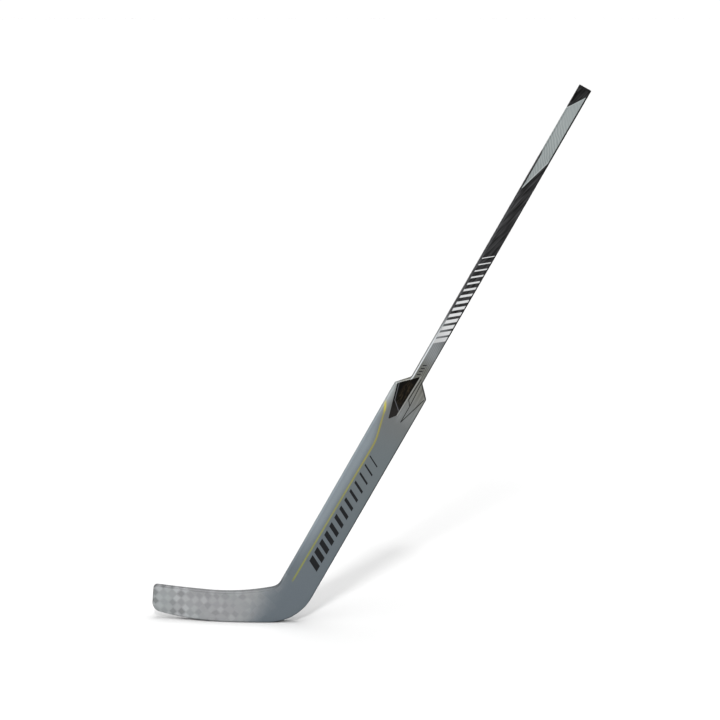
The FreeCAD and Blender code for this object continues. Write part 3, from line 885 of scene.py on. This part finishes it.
def finger_grip(name, side):
    """Moulded pad over a rounded quadrilateral, as a closed shell; side is -1 in front and 1 behind.

    The place (s, t) on the pad is a Coons patch: opposite sides blended both ways, less the blend of the
    corners. Its height is a quarter round down to the outline, less a fall beyond the two crease lines, plus
    a bead on the crease and, on the main facet, crossed cosine waves that leave rows of nubs. The whole bends
    over the rounded edge of the shoulder.
    """
    sides = rounded_sides(PAD_CORNERS, PAD_ROUND, PAD_GRID)
    top, outer, foot, inner = sides[0], sides[1], sides[2][::-1], sides[3][::-1]
    s = np.linspace(0.0, 1.0, PAD_GRID[0])[:, None, None]
    t = np.linspace(0.0, 1.0, PAD_GRID[1])[None, :, None]
    blend = (1 - t) * top[:, None] + t * foot[:, None] + (1 - s) * inner[None] + s * outer[None]
    corners = (1 - s) * ((1 - t) * top[0] + t * foot[0]) + s * ((1 - t) * top[-1] + t * foot[-1])
    points = blend - corners
    points = points + (points.mean((0, 1)) - points) * (PAD_CLEARANCE / HALF_PADDLE)
    rim = np.min([-outside(points, PAD_CORNERS[i], PAD_CORNERS[(i + 1) % 4]) for i in range(4)], axis=0)
    beyond = np.maximum(*(outside(points, *PAD_CREASE[i:i + 2]) for i in (0, 1)))
    crease = np.exp(-(beyond / PAD_CREASE_WIDTH) ** 2)
    waves = np.cos((points[..., 0] + points[..., 1]) * 2 * math.pi / PAD_NUB)
    waves = waves * np.cos((points[..., 0] - points[..., 1]) * 2 * math.pi / PAD_NUB)
    facet = np.clip((-beyond - PAD_NUB_FROM_CREASE) / PAD_NUB_SOFT, 0.0, 1.0)
    facet = facet * np.clip((rim - PAD_NUB_FROM_RIM) / PAD_NUB_SOFT, 0.0, 1.0)
    turn = 1 - np.clip(rim / PAD_EDGE_ROUND, 0.0, 1.0)
    height = PAD_PROUD * np.sqrt(np.clip(1 - turn**2, 0.0, 1.0))
    height = height - PAD_FALL * np.clip(beyond, 0.0, PAD_FALL_WIDTH) * (1 - turn)
    height = height + PAD_CREASE_RISE * crease * (1 - turn) + PAD_NUB_RISE * facet * np.clip(waves, 0.0, 1.0)
    shell = np.concatenate([points, over_shoulder(points, height)[..., None]], axis=2).reshape(-1, 3)
    index = np.arange(PAD_GRID[0] * PAD_GRID[1]).reshape(PAD_GRID)
    quads = np.stack([index[:-1, :-1], index[1:, :-1], index[1:, 1:], index[:-1, 1:]], axis=2).reshape(-1, 4)
    loop = np.concatenate([index[:-1, 0], index[-1, :-1], index[:0:-1, -1], index[0, :0:-1]])
    floor = shell[loop]
    floor[:, 2] = over_shoulder(floor[:, :2], -PAD_DEPTH)
    under = len(shell) + np.arange(len(loop))
    walls = np.stack([loop, under, np.roll(under, -1), np.roll(loop, -1)], axis=1)
    along, across, out = np.concatenate([shell, floor]).T
    places = np.stack([across, side * (HALF_DEPTH + out), along], axis=1) @ np.array(TURN) + np.array(HEEL)
    mesh = bpy.data.meshes.new(name)
    mesh.from_pydata(places.tolist(), [], quads.tolist() + walls.tolist() + [under.tolist()])
    mark = mesh.attributes.new("crease", "FLOAT", "POINT")
    mark.data.foreach_set("value", np.concatenate([crease.ravel(), np.zeros(len(loop))]))
    form = bmesh.new()
    form.from_mesh(mesh)
    bmesh.ops.recalc_face_normals(form, faces=form.faces)
    form.to_mesh(mesh)
    form.free()
    mesh.shade_smooth()
    mesh.set_sharp_from_angle(angle=PAD_SHARP)
    pad = bpy.data.objects.new(name, mesh)
    bpy.context.scene.collection.objects.link(pad)
    return pad


# Stage


def lamp(name, kind, where, strength, glossy=True, **settings):
    """Light at a place, turned towards the middle of the stick; one that isn't glossy has no reflection."""
    light = bpy.data.lights.new(name, kind)
    light.energy = strength
    for label, value in settings.items():
        setattr(light, label, value)
    source = bpy.data.objects.new(name, light)
    source.location = where
    source.rotation_euler = (Vector(LIT_CENTRE) - Vector(where)).to_track_quat("-Z", "Y").to_euler()
    source.visible_camera = False
    source.visible_glossy = glossy
    bpy.context.scene.collection.objects.link(source)


def camera_ray(tree):
    """1 for what the camera sees directly, 0 for reflections and bounced light."""
    return Field(tree, place(tree, "ShaderNodeLightPath").outputs["Is Camera Ray"])


def studio():
    """Pale floor, white surroundings, a key light from the front, a wide softbox above, a panel on the toe
    side and a soft fill from behind."""
    mesh = bpy.data.meshes.new("floor")
    corners = [(x * FLOOR_HALF, y * FLOOR_HALF, 0.0) for x, y in ((-1, -1), (1, -1), (1, 1), (-1, 1))]
    mesh.from_pydata(corners, [], [(0, 1, 2, 3)])
    floor = bpy.data.objects.new("floor", mesh)
    bpy.context.scene.collection.objects.link(floor)
    tree = new_material("pale_floor", Roughness=0.9, Specular_IOR_Level=0.0)
    pale = mix(camera_ray(tree), (*[FLOOR_BOUNCE] * 3, 1.0), (*[FLOOR_SEEN] * 3, 1.0))
    feed(tree, pale, tree.nodes["Principled BSDF"].inputs["Base Color"])
    mesh.materials.append(bpy.data.materials["pale_floor"])
    world = bpy.data.worlds.new("studio")
    bpy.context.scene.world = world
    world.use_nodes = True
    tree = world.node_tree
    background = tree.nodes["Background"]
    background.inputs["Color"].default_value = WHITE
    feed(tree, AMBIENT + camera_ray(tree) * (BACKDROP - AMBIENT), background.inputs["Strength"])
    lamp("front_key", "SUN", **KEY)
    lamp("overhead_softbox", "SUN", **OVERHEAD)
    lamp("toe_side_panel", "AREA", **TOE_PANEL)
    lamp("rear_fill", "SUN", **REAR_FILL)


def camera():
    """Camera at the photograph's angle."""
    data = bpy.data.cameras.new("camera")
    data.sensor_width = SENSOR
    data.lens = FOCAL_PIXELS * SENSOR / FRAME_PIXELS
    eye = bpy.data.objects.new("camera", data)
    back = Vector((0.0, -math.cos(CAMERA_PITCH), math.sin(CAMERA_PITCH)))
    eye.location = CAMERA_AIM + CAMERA_DISTANCE * back
    eye.rotation_euler = (math.pi / 2 - CAMERA_PITCH, 0.0, 0.0)
    bpy.context.scene.collection.objects.link(eye)
    bpy.context.scene.camera = eye


# Dressing the frame

shaft_finish()
paddle_finish()
blade_finish()
grip_finish()
end_plug_finish()
foam_finish()
rail_finish()
resin_finish()

FINISH_OF_SLOT = {
    "shaft_laminate": "shaft_finish",
    "end_plug_plastic": "end_plug_finish",
    "paddle_laminate": "paddle_finish",
    "blade_laminate": "blade_finish",
    "grip_rubber": "grip_finish",
    "rail_laminate": "rail_finish",
    "filled_resin": "resin_finish",
    "foam": "foam_finish",
}
for part in frame["record"]["subparts"]:
    mesh = frame["nodes"][part["node"]].data
    mesh.materials.clear()
    mesh.materials.append(bpy.data.materials[FINISH_OF_SLOT[part["material_slot"]]])

for node, side in (("front_finger_grip", -1), ("rear_finger_grip", 1)):
    pad = finger_grip("moulded_" + node, side)
    pad.data.materials.append(bpy.data.materials["grip_finish"])
    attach(pad, "stick")
    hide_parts(node)

studio()
camera()
bpy.context.scene.view_settings.view_transform = "Standard"
